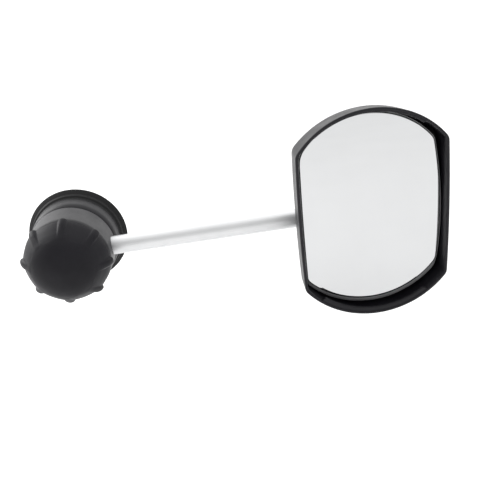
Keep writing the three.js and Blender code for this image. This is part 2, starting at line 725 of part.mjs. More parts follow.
const socket = new THREE.Group();
socket.add(
  mesh("socket_base", socketBase(), "plastic"),
  mesh("socket_cap", socketCap(), "plastic"),
  ...numbered("clamp_screw", CLAMP_POINTS, clampScrew, "steel"),
  ...numbered("clamp_nut", CLAMP_POINTS, clampNut, "steel"),
  ...numbered("base_screw", BASE_SCREW_POINTS, baseScrew, "steel"),
);
socket.position.x = -BALL_X;

const housing = new THREE.Group();
housing.add(
  mesh("mirror_case", mirrorCase(), "plastic"),
  mesh("glass_carrier", glassCarrier(), "carrier"),
  ...numbered("carrier_screw", CARRIER_SCREW_POINTS, carrierScrew, "steel"),
  mesh("foam_pad", foamPad(), "foam"),
  mesh("mirror_glass", mirrorGlass(), "mirror"),
);
housing.position.y = HEAD_RAISE;

const head = new THREE.Group();
head.add(socket, housing);
head.position.x = BALL_X;
head.rotation.z = radians(HEAD_TURN);

const towingMirror = new THREE.Group();
towingMirror.add(cup, knob, arm, head);
towingMirror.rotation.x = Math.PI / 2;

export default towingMirror;
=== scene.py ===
"""Looks of a towing mirror on a suction mount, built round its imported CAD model.

Lengths are in millimetres in the suction cup's own frame: x runs along the arm, y is up and z is the cup's
axis, from the suction face to the knob. at() turns them into metres in the row frame.
"""

import json
import math

import bmesh
import bpy
from mathutils import Matrix, Vector

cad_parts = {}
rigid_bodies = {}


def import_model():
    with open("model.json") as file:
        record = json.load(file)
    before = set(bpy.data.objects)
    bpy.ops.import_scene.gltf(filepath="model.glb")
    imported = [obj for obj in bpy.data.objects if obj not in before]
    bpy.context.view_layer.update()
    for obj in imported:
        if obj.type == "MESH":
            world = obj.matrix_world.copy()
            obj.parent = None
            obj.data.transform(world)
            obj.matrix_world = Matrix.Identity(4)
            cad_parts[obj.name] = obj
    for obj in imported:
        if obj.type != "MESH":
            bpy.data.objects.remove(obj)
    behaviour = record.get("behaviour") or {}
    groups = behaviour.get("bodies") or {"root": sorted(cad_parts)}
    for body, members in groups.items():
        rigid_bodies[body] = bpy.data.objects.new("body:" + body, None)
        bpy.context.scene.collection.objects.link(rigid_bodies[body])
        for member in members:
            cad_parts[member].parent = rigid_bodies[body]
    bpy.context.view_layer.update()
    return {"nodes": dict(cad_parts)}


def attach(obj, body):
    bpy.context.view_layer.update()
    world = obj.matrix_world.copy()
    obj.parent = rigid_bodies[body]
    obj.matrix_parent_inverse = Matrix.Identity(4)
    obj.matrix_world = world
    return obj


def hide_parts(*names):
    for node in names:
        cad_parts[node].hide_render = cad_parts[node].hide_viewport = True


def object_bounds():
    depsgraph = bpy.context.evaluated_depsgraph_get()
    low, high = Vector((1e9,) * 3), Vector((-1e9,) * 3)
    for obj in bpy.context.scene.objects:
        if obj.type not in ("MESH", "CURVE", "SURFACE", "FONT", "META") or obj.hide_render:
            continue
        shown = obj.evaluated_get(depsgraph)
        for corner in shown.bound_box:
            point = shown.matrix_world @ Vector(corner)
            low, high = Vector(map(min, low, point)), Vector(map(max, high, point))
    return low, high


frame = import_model()

MM = 0.001
ARM = 38.2  # height of the arm's axis above the suction face
BALL = 254.0  # x of the ball joint
HEAD_RAISE = 7.3  # centre of the head above the arm
HEAD_TURN = math.radians(-0.8)
RIM = 82.0  # height of the head's front edge
DECK = 51.8  # height of the back of the case
GLASS_CURVE = 1400.0  # radius of the convex glass
FINE = 128  # facets round a large turned piece


def at(x, y, z):
    return Vector((x, -z, y)) * MM


def on_head(x, y, z):
    """A point across the head, from the head's own centre."""
    raised = y + HEAD_RAISE
    cos, sin = math.cos(HEAD_TURN), math.sin(HEAD_TURN)
    return at(BALL + x * cos - raised * sin, x * sin + raised * cos, z)


def on_socket(x, y, z):
    """A point near the ball joint, from the ball's centre across the head."""
    return on_head(x, y - HEAD_RAISE, z)


# ---- sections and outlines ----


def rounded(section, loop=False, steps=5):
    """The section's (across, along, reach) corners, each rounded over reach along both its sides."""
    out = []
    count = len(section)
    for i, (across, along, reach) in enumerate(section):
        corner = Vector((across, along))
        if reach <= 0 or (not loop and i in (0, count - 1)):
            out.append((across, along))
            continue
        before = Vector(section[i - 1][:2]) - corner
        after = Vector(section[(i + 1) % count][:2]) - corner
        span = min(reach, 0.49 * before.length, 0.49 * after.length)
        start = corner + before.normalized() * span
        end = corner + after.normalized() * span
        for k in range(steps + 1):
            t = k / steps
            point = start * (1 - t) ** 2 + corner * (2 * t * (1 - t)) + end * t**2
            out.append((point.x, point.y))
    return out


def spline(levels, steps):
    """Catmull-Rom through tuples of numbers, with steps pieces between each two."""
    out = []
    for i in range(len(levels) - 1):
        a, b, c, d = (levels[min(max(j, 0), len(levels) - 1)] for j in (i - 1, i, i + 1, i + 2))
        for k in range(steps):
            t = k / steps
            out.append(tuple(
                0.5 * (
                    2 * q
                    + (r - p) * t
                    + (2 * p - 5 * q + 4 * r - s) * t**2
                    + (3 * q - p - 3 * r + s) * t**3
                )
                for p, q, r, s in zip(a, b, c, d)
            ))
    out.append(tuple(levels[-1]))
    return out


def arc(centre, radius, start, end, count):
    """Points of an arc, without its last one."""
    angles = (start + (end - start) * i / count for i in range(count))
    return [(centre[0] + radius * math.cos(a), centre[1] + radius * math.sin(a)) for a in angles]


def quarter_outline(w, h, shoulder, bow, corner, counts=(10, 7, 26)):
    """A quarter of an outline: a bowed side, a rounded corner, then an arc from (w, shoulder) to (0, h)."""
    rise = h - shoulder
    top_radius = (w * w + rise * rise) / (2 * rise)
    top = Vector((0, h - top_radius))
    side = Vector((w - bow, 0))
    r0, r1 = top_radius - corner, bow - corner
    between = side - top
    distance = between.length
    unit = between / distance
    along = (distance**2 + r0**2 - r1**2) / (2 * distance)
    across = math.sqrt(r0**2 - along**2)
    normal = Vector((unit.y, -unit.x))
    centre = max((top + unit * along + normal * s for s in (across, -across)), key=lambda p: p.y)
    side_angle = math.atan2(centre.y - side.y, centre.x - side.x)
    top_angle = math.atan2(centre.y - top.y, centre.x - top.x)
    return (
        arc(side, bow, 0, side_angle, counts[0])
        + arc(centre, corner, side_angle, top_angle, counts[1])
        + arc(top, top_radius, top_angle, math.pi / 2, counts[2])
        + [(0, h)]
    )


def joined_outline(quarters, x, y):
    """Four quarters, anticlockwise from the upper right one, round the point (x, y)."""
    out = []
    for turn, shape in enumerate(quarters):
        side, up = (-1 if turn in (1, 2) else 1), (1 if turn < 2 else -1)
        points = [(x + side * u, y + up * v) for u, v in quarter_outline(*shape)]
        out += points[:0:-1] if turn % 2 else points[:-1]
    return out


def head_outline(w, h, shoulder, bow, corner):
    return joined_outline([(w, h, shoulder, bow, corner)] * 4, 0, 0)


def block_outline(x0, x1, side, corner, count=8):
    """A rectangle with rounded corners, from x0 to x1 and as wide as side each way."""
    centres = ((x1, side), (x0, side), (x0, -side), (x1, -side))
    out = []
    for turn, (x, y) in enumerate(centres):
        start = turn * math.pi / 2
        centre = (x - math.copysign(corner, x - (x0 + x1) / 2), y - math.copysign(corner, y))
        out += arc(centre, corner, start, start + math.pi / 2, count)
        last = start + math.pi / 2
        out.append((centre[0] + corner * math.cos(last), centre[1] + corner * math.sin(last)))
    return out


# ---- meshes ----


def skin(rings, loop=False):
    """A mesh through rings of points. A ring of one point is a pole; loop joins the last to the first."""
    bm = bmesh.new()
    rows = [[bm.verts.new(p) for p in ring] for ring in rings]
    for low, high in zip(rows, rows[1:] + (rows[:1] if loop else [])):
        count = max(len(low), len(high))
        for i in range(count):
            j = (i + 1) % count
            corners = [low[i % len(low)], low[j % len(low)], high[j % len(high)], high[i % len(high)]]
            face = list(dict.fromkeys(corners))
            if len(face) > 2:
                bm.faces.new(face)
    bmesh.ops.recalc_face_normals(bm, faces=bm.faces)
    mesh = bpy.data.meshes.new("skin")
    bm.to_mesh(mesh)
    bm.free()
    return mesh


def turned(section, put, segments=FINE, loop=False):
    """A section of (radius, height) turned about an axis; put places (radius, angle, height)."""
    rings = []
    for radius, height in section:
        angles = [0.0] if radius < 1e-6 else [2 * math.pi * i / segments for i in range(segments)]
        rings.append([put(radius, a, height) for a in angles])
    return skin(rings, loop)


def round_cup(radius, angle, height):
    return at(radius * math.cos(angle), radius * math.sin(angle), height)


def round_arm(radius, angle, height):
    return at(height, radius * math.cos(angle), ARM + radius * math.sin(angle))


def round_ball(radius, angle, height):
    return round_arm(radius, angle, BALL + height)


def show(name, mesh, body, material, replaced=(), sharp=32.0):
    """A finished piece: shaded, painted, riding on its body and standing for its CAD nodes."""
    mesh.name = name
    mesh.materials.clear()
    mesh.materials.append(material)
    mesh.shade_smooth()
    mesh.set_sharp_from_angle(angle=math.radians(sharp))
    piece = bpy.data.objects.new(name, mesh)
    bpy.context.scene.collection.objects.link(piece)
    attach(piece, body)
    if replaced:
        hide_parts(*replaced)
    return piece


def cut(mesh, *tools, operation="DIFFERENCE"):
    """The mesh with the tools' meshes cut away from it, or joined to it."""
    scene = bpy.context.scene.collection.objects
    base = bpy.data.objects.new("cut_base", mesh)
    scene.link(base)
    helpers = []
    for tool in tools:
        helper = bpy.data.objects.new("cut_tool", tool)
        scene.link(helper)
        helpers.append(helper)
        step = base.modifiers.new("cut", "BOOLEAN")
        step.operation = operation
        step.solver = "EXACT"
        step.object = helper
    graph = bpy.context.evaluated_depsgraph_get()
    result = bpy.data.meshes.new_from_object(base.evaluated_get(graph))
    for helper in helpers + [base]:
        bpy.data.objects.remove(helper)
    return result


# ---- materials ----


class Paint:
    """A node material that is built up from its Principled shader."""

    def __init__(self, name, **constants):
        self.material = bpy.data.materials.new(name)
        self.material.use_nodes = True
        self.nodes = self.material.node_tree.nodes
        self.links = self.material.node_tree.links
        self.shader = self.nodes["Principled BSDF"]
        self.place = self.nodes.new("ShaderNodeTexCoord").outputs["Object"]
        for socket, value in constants.items():
            self.shader.inputs[socket.replace("_", " ")].default_value = value

    def node(self, kind, **inputs):
        made = self.nodes.new(kind)
        for socket, value in inputs.items():
            target = made.inputs[socket.replace("_", " ")]
            if hasattr(value, "is_output"):
                self.links.new(value, target)
            else:
                target.default_value = value
        return made

    def stretched(self, scale):
        mapping = self.node("ShaderNodeMapping", Vector=self.place)
        mapping.inputs["Scale"].default_value = scale
        return mapping.outputs[0]

    def noise(self, scale, detail=4.0, rough=0.55, place=None):
        vector = self.place if place is None else place
        made = self.node("ShaderNodeTexNoise", Vector=vector, Scale=scale, Detail=detail, Roughness=rough)
        return made.outputs["Fac"]

    def cells(self, scale):
        return self.node("ShaderNodeTexVoronoi", Vector=self.place, Scale=scale).outputs["Distance"]

    def ranged(self, value, low, high, start=0.3, end=0.7):
        made = self.node("ShaderNodeMapRange", Value=value)
        for socket, number in (("From Min", start), ("From Max", end), ("To Min", low), ("To Max", high)):
            made.inputs[socket].default_value = number
        return made.outputs[0]

    def colour(self, value, dark, light):
        ramp = self.nodes.new("ShaderNodeValToRGB")
        self.links.new(value, ramp.inputs[0])
        ends = ramp.color_ramp.elements
        ends[0].position, ends[0].color = 0.3, (*dark, 1)
        ends[1].position, ends[1].color = 0.7, (*light, 1)
        self.links.new(ramp.outputs[0], self.shader.inputs["Base Color"])

    def roughness(self, value):
        self.links.new(value, self.shader.inputs["Roughness"])

    def relief(self, *layers):
        """Bump from (height, strength, distance in mm) layers."""
        normal = None
        for height, strength, distance in layers:
            bump = self.node("ShaderNodeBump", Height=height, Strength=strength, Distance=distance * MM)
            if normal is not None:
                self.links.new(normal, bump.inputs["Normal"])
            normal = bump.outputs[0]
        self.links.new(normal, self.shader.inputs["Normal"])


def moulded(name, dark, light, shine, rough, grain, depth):
    """Moulded black plastic: a fine spark-eroded grain, flow marks and a slightly uneven sheen."""
    paint = Paint(name, IOR=1.47, Specular_IOR_Level=shine)
    flow = paint.noise(35, detail=3)
    paint.colour(flow, dark, light)
    paint.roughness(paint.ranged(paint.noise(90, detail=6), rough - 0.05, rough + 0.06))
    paint.relief(
        (paint.noise(grain, detail=3, rough=0.7), 0.35, depth),
        (paint.noise(60, detail=2), 0.15, 0.12),
    )
    return paint.material


def rubber(name):
    """Soft moulded rubber with a bloom of dust and a fine matt surface."""
    paint = Paint(name, IOR=1.5, Specular_IOR_Level=0.25)
    bloom = paint.noise(55, detail=8, rough=0.65)
    paint.colour(bloom, (0.006, 0.006, 0.0065), (0.012, 0.012, 0.0125))
    paint.roughness(paint.ranged(bloom, 0.5, 0.66))
    paint.relief((paint.noise(1900, detail=4), 0.3, 0.05), (paint.noise(120, detail=3), 0.2, 0.15))
    return paint.material


def anodised(name):
    """Satin anodised aluminium, with the faint drawing lines of the tube along its length."""
    paint = Paint(name, Metallic=1.0)
    lines = paint.noise(1.0, detail=5, rough=0.6, place=paint.stretched((9, 1700, 1700)))
    cloud = paint.noise(40, detail=4)
    paint.colour(cloud, (0.67, 0.675, 0.68), (0.71, 0.715, 0.72))
    paint.roughness(paint.ranged(lines, 0.42, 0.55))
    paint.relief((lines, 0.12, 0.03), (paint.noise(2600, detail=2), 0.1, 0.02))
    return paint.material


def zinc(name):
    """Zinc-plated steel with small spangles and dull patches."""
    paint = Paint(name, Metallic=1.0)
    paint.colour(paint.noise(240, detail=5), (0.5, 0.51, 0.52), (0.66, 0.67, 0.68))
    paint.roughness(paint.ranged(paint.cells(900), 0.26, 0.46, 0.0, 1.0))
    paint.relief((paint.noise(1500, detail=3), 0.2, 0.03))
    return paint.material


def nylon(name):
    """Natural nylon: waxy, slightly yellow and translucent."""
    paint = Paint(name, IOR=1.53, Subsurface_Weight=0.15, Subsurface_Scale=0.002)
    paint.colour(paint.noise(80, detail=4), (0.7, 0.685, 0.62), (0.78, 0.77, 0.71))
    paint.roughness(paint.ranged(paint.noise(300), 0.38, 0.5))
    paint.relief((paint.noise(900, detail=3), 0.2, 0.05))
    return paint.material


def open_foam(name):
    paint = Paint(name)
    cells = paint.cells(1100)
    paint.colour(cells, (0.02, 0.02, 0.021), (0.05, 0.05, 0.052))
    paint.roughness(paint.ranged(cells, 0.85, 0.98, 0.0, 1.0))
    paint.relief((cells, 0.8, 0.3))
    return paint.material


def silvered(name):
    """Silvered glass with the lightest haze of dust and wiping marks."""
    paint = Paint(name, Metallic=1.0, Coat_Weight=0.25, Coat_Roughness=0.02)
    haze = paint.noise(26, detail=6, rough=0.6, place=paint.stretched((1.0, 1.0, 0.35)))
    paint.colour(haze, (0.615, 0.62, 0.625), (0.63, 0.635, 0.64))
    paint.roughness(paint.ranged(haze, 0.012, 0.035))
    return paint.material


def ground_edge(name):
    """The ground edge of the mirror glass."""
    paint = Paint(name, IOR=1.5)
    paint.colour(paint.noise(700, detail=4), (0.12, 0.17, 0.155), (0.2, 0.26, 0.24))
    paint.roughness(paint.ranged(paint.noise(1500), 0.3, 0.5))
    paint.relief((paint.noise(2200, detail=3), 0.3, 0.04))
    return paint.material


BLACK = ((0.0066, 0.0062, 0.0083), (0.011, 0.0105, 0.0133))
GREY = ((0.17, 0.17, 0.175), (0.2, 0.2, 0.206))
pad_rubber = rubber("pad_rubber")
cup_plastic = moulded("cup_plastic", *BLACK, shine=0.36, rough=0.42, grain=1500, depth=0.05)
arm_plastic = moulded("arm_plastic", *BLACK, shine=0.5, rough=0.44, grain=1300, depth=0.06)
knob_plastic = moulded("knob_plastic", *BLACK, shine=0.17, rough=0.46, grain=1200, depth=0.07)
case_plastic = moulded("case_plastic", *BLACK, shine=0.26, rough=0.4, grain=1700, depth=0.05)
carrier_plastic = moulded("carrier_plastic", *GREY, shine=0.5, rough=0.5, grain=1700, depth=0.04)
tube_metal = anodised("tube_metal")
steel = zinc("fastener_steel")
white_nylon = nylon("bearing_nylon")
foam = open_foam("foam")
silver = silvered("mirror_silver")
glass_edge = ground_edge("glass_edge")


# ---- suction cup ----

pad_section = rounded([
    (0, 0, 0), (39.6, 0, 0.2), (39.9, 0.3, 0.2), (40.5, 0.3, 0.2), (40.8, 0, 0.2), (44.0, 0, 0.5),
    (44.5, 0.6, 0.5), (44.4, 1.5, 0.6), (42.6, 2.9, 1.2), (40.7, 4.2, 0.7), (40.6, 6.1, 0.5),
    (40.1, 6.8, 0.5), (38.9, 7.2, 0.4), (38.3, 7.9, 0.5), (38.2, 11.0, 0.3), (35.9, 11.0, 0.3),
    (35.9, 5.6, 1.0), (15.0, 3.6, 0.5), (13.8, 3.0, 0.4), (0, 3.0, 0),
])
show("cup_pad", turned(pad_section, round_cup), "cup", pad_rubber, ["suction_pad"])

shell_section = rounded([
    (11, 12, 0.4), (11, 23.4, 1.5), (33.2, 23.4, 1.5), (33.2, 6.6, 0.3), (35.6, 6.6, 0.3),
    (35.6, 11.3, 0.3), (38.2, 11.3, 0.3), (38.6, 12.4, 0.8), (38.3, 19.4, 1.5), (37.7, 23.0, 2.6),
    (35.2, 26.4, 2.6), (9.0, 26.4, 0.4), (8.2, 25.6, 0.4), (6.9, 25.6, 0.3), (6.9, 12, 0.3),
], loop=True)
cup_body = turned(shell_section, round_cup, loop=True)
show("cup_body", cup_body, "cup", cup_plastic, ["cup_shell"])


# ---- arm housing ----

drum_section = rounded([
    (36.2, 28.3, 0.5), (36.8, 28.9, 0.5), (36.7, 34.0, 2.0), (36.2, 50.0, 3.0), (35.9, 55.9, 1.6),
    (34.2, 58.2, 1.6), (8.0, 58.2, 0.5), (7.2, 57.4, 0.5), (7.2, 28.3, 0.3), (12.0, 28.3, 0.3),
    (12.0, 55.2, 1.2), (34.0, 55.2, 1.2), (34.0, 28.3, 0.3),
], loop=True)
tube_hole = turned([(0, 16), (8.25, 16), (8.25, 60), (0, 60)], round_arm, segments=96)
drum = cut(turned(drum_section, round_cup, segments=160, loop=True), tube_hole)
show("arm_drum", drum, "arm", arm_plastic, ["arm_housing"], sharp=40)


# ---- knob ----

LOBES = 8
LOBE_PHASE = math.radians(-8)
LOBE_HALF = math.radians(7.8)


def lobe_shape(angle):
    """1 on the crest of a lobe, 0 between the lobes."""
    pitch = 2 * math.pi / LOBES
    turn = ((angle - LOBE_PHASE) / pitch + 0.5) % 1 - 0.5
    t = abs(turn * pitch / LOBE_HALF)
    if t >= 1:
        return 0.0
    crest = math.sqrt(max(0.0, 1 - (t / 0.78) ** 2))
    return max(crest, 1.7 * (1 - t) ** 2 if t > 0.7 else 0.0)


def knob_ring(radius, height, lobe, segments=400):
    points = []
    for i in range(segments):
        angle = 2 * math.pi * i / segments
        flat = 0.2 * math.cos(LOBES * (angle - LOBE_PHASE))
        swell = lobe * lobe_shape(angle) + (flat if lobe > 0 else 0)
        points.append(round_cup(radius + swell, angle, height))
    return points


knob_outside = spline([
    (35.4, 59.6, 2.6), (34.6, 62.0, 2.6), (33.1, 65.2, 2.35), (31.2, 68.6, 1.5), (28.9, 72.3, 0.45),
    (25.9, 76.0, 0.0), (21.6, 79.5, 0.0), (15.4, 82.7, 0.0), (8.0, 84.9, 0.0), (3.0, 85.7, 0.0),
], 6)
knob_inside = [
    (5.8, 76, 0), (5.8, 60.4, 0), (13, 60.4, 0), (13, 79.0, 0), (18.4, 77.0, 0), (26.8, 70, 0),
    (32.2, 59.2, 0), (32.5, 58.85, 0), (34.6, 58.8, 2.0), (35.1, 59.0, 2.4),
]
knob_rings = [[round_cup(0, 0, 76)]]
knob_rings += [knob_ring(*level) for level in knob_inside + knob_outside]
knob_rings += [[round_cup(0, 0, 85.9)]]
show("knob_grip", skin(knob_rings), "knob", knob_plastic, ["knob_body"], sharp=60)


# ---- arm ----

tube_section = rounded([
    (6.5, 14.2, 0.3), (8.0, 14.2, 0.4), (8.0, 231.7, 0.4), (6.5, 231.7, 0.3),
], loop=True)
arm_rod = turned(tube_section, round_arm, 96, loop=True)
show("arm_rod", arm_rod, "arm", tube_metal, ["arm_tube"])

spindle_section = rounded([
    (0, -50, 0), (6.2, -50, 0.6), (6.2, -22, 0.2), (7.9, -22, 0.3), (7.9, -20, 0.5), (5.6, -19.4, 0.8),
    (5.6, -13.5, 0.8), (4.5, -11.4, 0.5), (4.5, -7.3, 0.2), (3.6, -7.3, 0.2), (3.6, 3.3, 0.2),
    (2.2, 3.3, 0.1), (2.2, -6.5, 0.1), (0, -6.5, 0),
])
show("ball_stem", turned(spindle_section, round_ball, 72), "arm", steel, ["ball_spindle"])


# ---- ball joint ----

BALL_RADIUS = 9.5
BALL_HALF = 7  # half the length of the ball between its flat ends
ball_edge = math.asin(BALL_HALF / BALL_RADIUS)
ball_arc = [
    (BALL_RADIUS * math.cos(a), BALL_RADIUS * math.sin(a), 0)
    for a in (ball_edge * (2 * k / 24 - 1) for k in range(25))
]
ball_bore = [(6.0, BALL_HALF, 0.2), (6.0, 3.5, 0.2), (3.9, 3.5, 0.2)]
ball_section = rounded([(3.9, -BALL_HALF, 0.3)] + ball_arc + ball_bore, loop=True)
joint_ball = turned(ball_section, round_ball, 72, loop=True)
show("joint_ball", joint_ball, "ball", white_nylon, ["pivot_ball"])

CLAMPS = ((-10, 17), (12, 17), (12, -17), (-10, -17))
BASE_SCREWS = ((1, 17.5), (14.3, 0), (1, -17.5))
LINER_SPACE = 11.3  # radius of the room for the ball and its liner
WINDOW_HALF = math.radians(44)
WINDOW_REACH = 40


def round_post(x, y):
    """Places points about an axis through (x, y), beside the ball."""
    def put(radius, angle, height):
        return on_socket(x + radius * math.cos(angle), y + radius * math.sin(angle), height)
    return put


def plug(radius, low, high, x, y, segments=40):
    """A round cutter along the cup's axis, beside the ball."""
    return turned([(0, low), (radius, low), (radius, high), (0, high)], round_post(x, y), segments)


def ball_space():
    steps = 24
    angles = [math.pi * k / steps for k in range(steps + 1)]
    arcs = [(max(LINER_SPACE * math.sin(a), 0), -LINER_SPACE * math.cos(a)) for a in angles]
    return turned(arcs, round_ball, 64)


def window():
    """The cone through which the arm's end reaches the ball."""
    wide = WINDOW_REACH * math.tan(WINDOW_HALF)
    return turned([(0, -WINDOW_REACH), (wide, -WINDOW_REACH), (0, -0.01)], round_ball, 64)


def socket_block(levels):
    """The socket's rounded plan at (inset, height) levels, closed at both ends."""
    rings = []
    for inset, z in levels:
        plan = block_outline(-16 + inset, 18 - inset, 23 - inset, max(7 - inset, 1.5))
        rings.append([on_socket(x, y, z) for x, y in plan])
    first, last = levels[0][1], levels[-1][1]
    return skin([[on_socket(1, 0, first)], *rings, [on_socket(1, 0, last)]])


base_levels = rounded([(1.0, 38.4, 0), (0, 38.4, 0.6), (0, 51.5, 0.6), (1.0, 51.5, 0)])
base = cut(
    socket_block(base_levels), ball_space(), window(),
    *[plug(2.35, 30, 60, x, y) for x, y in CLAMPS],
    *[plug(1.8, 42, 60, x, y) for x, y in BASE_SCREWS],
    *[plug(4.4, 48.0, 60, x, y, segments=6) for x, y in CLAMPS],
)
show("socket_seat", base, "head", case_plastic, ["socket_base"], sharp=30)

cap_levels = rounded([
    (6.0, 24.4, 0), (3.6, 24.4, 1.4), (1.6, 26.4, 1.6), (0, 29.8, 1.6), (0, 38.0, 0.6), (1.0, 38.0, 0),
])
cap = cut(
    socket_block(cap_levels), ball_space(), window(),
    *[plug(2.35, 20, 45, x, y) for x, y in CLAMPS],
    *[plug(3.8, 10, 29, x, y) for x, y in CLAMPS],
)
show("socket_cover", cap, "head", case_plastic, ["socket_cap"], sharp=30)


def cross_screw(x, y):
    """A pan-head screw with a cross recess, its head towards the suction face."""
    section = rounded([
        (0, 26.0, 0), (2.4, 26.05, 0.9), (3.4, 26.7, 0.7), (3.5, 28.7, 0.15), (2.0, 28.7, 0.2),
        (2.0, 50.6, 0.5), (1.5, 51.0, 0.2), (0, 51.0, 0),
    ])
    recesses = []
    for turn in (0, math.pi / 2):
        cos, sin = math.cos(turn + 0.4), math.sin(turn + 0.4)
        rings = []
        for z, half in ((25.5, 1.75), (27.6, 0.9)):
            corners = ((half, 0.38), (-half, 0.38), (-half, -0.38), (half, -0.38))
            rings.append([on_socket(x + u * cos - v * sin, y + u * sin + v * cos, z) for u, v in corners])
        recesses.append(skin([[on_socket(x, y, 25.5)], *rings, [on_socket(x, y, 27.6)]]))
    return cut(turned(section, round_post(x, y), 40), *recesses)


for number, (x, y) in enumerate(CLAMPS, 1):
    bolt = cross_screw(x, y)
    show(f"clamp_bolt_{number}", bolt, "head", steel, [f"clamp_screw_{number}"])


# ---- mirror head ----

CASE_BOW = 1500


def case_ring(z, w, h, shoulder, corner):
    return [on_head(x, y, z) for x, y in head_outline(w, h, shoulder, CASE_BOW, corner)]


case_back = spline([
    (DECK, 26, 36, 24, 8), (54.3, 40, 56, 37.5, 9), (56.1, 51, 71.5, 47.8, 10), (57.4, 57.6, 81, 54, 10),
    (58.2, 60.0, 84.5, 56.4, 10), (59.2, 60.85, 85.9, 57.2, 9.5),
], 5)
case_wall = [
    (66.0, 61.1, 86.6, 57.0, 9.2), (79.6, 61.45, 87.85, 56.7, 8.6), (80.9, 61.5, 88.0, 56.7, 8.5),
    (81.45, 61.38, 87.88, 56.62, 8.4), (81.8, 61.1, 87.6, 56.5, 8.2), (81.97, 60.7, 87.2, 56.3, 8.0),
    (RIM, 60.45, 86.95, 56.2, 7.8), (81.99, 59.95, 86.4, 55.95, 7.4), (81.85, 59.5, 85.95, 55.75, 7.1),
    (81.5, 59.2, 85.7, 55.8, 6.9), (81.0, 59.02, 85.6, 55.8, 6.8), (72.0, 58.8, 85.35, 56.0, 7.1),
    (64.0, 58.62, 85.1, 56.2, 7.5), (62.6, 58.3, 84.1, 55.7, 7.9), (61.2, 57.6, 82.4, 54.6, 8.5),
    (59.2, 49.5, 69.5, 46, 9), (54.8, 25, 35, 23, 8),
]
case_rings = [[on_head(0, 0, DECK)]]
case_rings += [case_ring(*level) for level in case_back + case_wall]
case_rings += [[on_head(0, 0, 54.8)]]


LIP_HALF_WIDTH = 42.7
LIP_CENTRE = -1.9  # x of the middle of each lip
LIP_TAPER = 0.045  # share of the lip's length over which each end thins


def middle(ring):
    """A ring of one point, in the middle of the ring."""
    return [sum(ring, Vector()) / len(ring)]


def lip(side, depth, left_depth):
    """The lip inside the rim's top arc, or bottom arc with side -1; its left end is left_depth deep."""
    w, h, shoulder = 59.0, 85.6, 55.8
    rise = h - shoulder
    radius = (w * w + rise * rise) / (2 * rise)
    centre = h - radius
    outer, inner = radius + 0.6, radius - depth
    half = math.asin(LIP_HALF_WIDTH / inner)
    section = rounded([
        (outer, 78.6, 0), (inner, 78.6, 0.3), (inner, 80.7, 0.4), (inner + 0.5, 81.2, 0.3),
        (outer, 81.2, 0),
    ], steps=3)
    count = 72
    rings = []
    for i in range(count + 1):
        t = 2 * i / count - 1
        angle = math.pi / 2 + half * t - side * LIP_CENTRE / inner
        end = max(0.0, (abs(t) - (1 - LIP_TAPER)) / LIP_TAPER)
        here = depth + (left_depth - depth) * (0.5 + 0.5 * side * t)
        shrink = depth - here + 0.5 * here * end**3
        cos, sin = math.cos(angle), math.sin(angle)
        ring = []
        for r, z in section:
            r = r + shrink * (r < radius)
            ring.append(on_head(side * r * cos, side * (centre + r * sin), z))
        rings.append(ring)
    return skin([middle(rings[0]), *rings, middle(rings[-1])])


case = skin(case_rings)
case_lips = cut(case, lip(1, 1.7, 0.5), lip(-1, 3.5, 3.5), operation="UNION")
show("head_shell", case_lips, "head", case_plastic, ["mirror_case"], sharp=38)

GLASS_RAISE = 3.3  # the glass sits above the head's centre, over a wider lower border
ARC_PEAK = -2.5  # x of the highest and lowest points of the glass
SIDE_MIDDLE = -3.45  # height at which the glass is widest
LEFT_BOW = 2000
LEFT_CORNER = 8  # lower left corner


def offset_outline(right, left, bow, corners, top, bottom, shoulders):
    """The outline of the glass or its carrier, whose arcs peak left of the head's centre."""
    to_right, to_left = right - ARC_PEAK, left + ARC_PEAK
    upper_right, upper_left, lower_left, lower_right = shoulders
    return joined_outline([
        (to_right, top, upper_right, bow, corners[0]),
        (to_left, top, upper_left, LEFT_BOW, corners[1]),
        (to_left, bottom, lower_left, LEFT_BOW, LEFT_CORNER),
        (to_right, bottom, lower_right, bow, corners[0]),
    ], ARC_PEAK, SIDE_MIDDLE)


def curved_ring(outline, factor, z):
    """The outline, scaled about the glass's centre and bent to its curve."""
    points = []
    for x, y in outline:
        x, y = x * factor, (y - GLASS_RAISE) * factor
        points.append(on_head(x, GLASS_RAISE + y, z - (x * x + y * y) / (2 * GLASS_CURVE)))
    return points


glass_line = offset_outline(57.2, 57, 342, (10.5, 20), 86.6, 73.6, (52, 56.8, 49.8, 40.6))
carrier_line = offset_outline(58.1, 58, 343, (11.5, 18), 87.35, 77.9, (52.3, 57.1, 52.3, 46.8))


def between(first, second, t):
    return [(a + (c - a) * t, b + (d - b) * t) for (a, b), (c, d) in zip(first, second)]


carrier_outer = [
    (0.5, 68.1), (0.98, 68.1), (0.996, 68.3), (1, 68.9), (1, 71.6), (0.998, 72.1),
]
carrier_bevel = [(0.12, 72.5), (0.5, 73.1), (0.8, 73.55)]
carrier_inner = [
    (1.009, 73.6), (1.0055, 73.4), (1.005, 73.0), (1.005, 70.6), (0.5, 70.6),
]
carrier_rings = [[on_head(0, GLASS_RAISE, 68.1)]]
carrier_rings += [curved_ring(carrier_line, factor, z) for factor, z in carrier_outer]
carrier_rings += [curved_ring(between(carrier_line, glass_line, t), 1, z) for t, z in carrier_bevel]
carrier_rings += [curved_ring(glass_line, factor, z) for factor, z in carrier_inner]
carrier_rings += [[on_head(0, GLASS_RAISE, 70.6)]]
glass_frame = skin(carrier_rings)
show("glass_frame", glass_frame, "head", carrier_plastic, ["glass_carrier"], sharp=50)

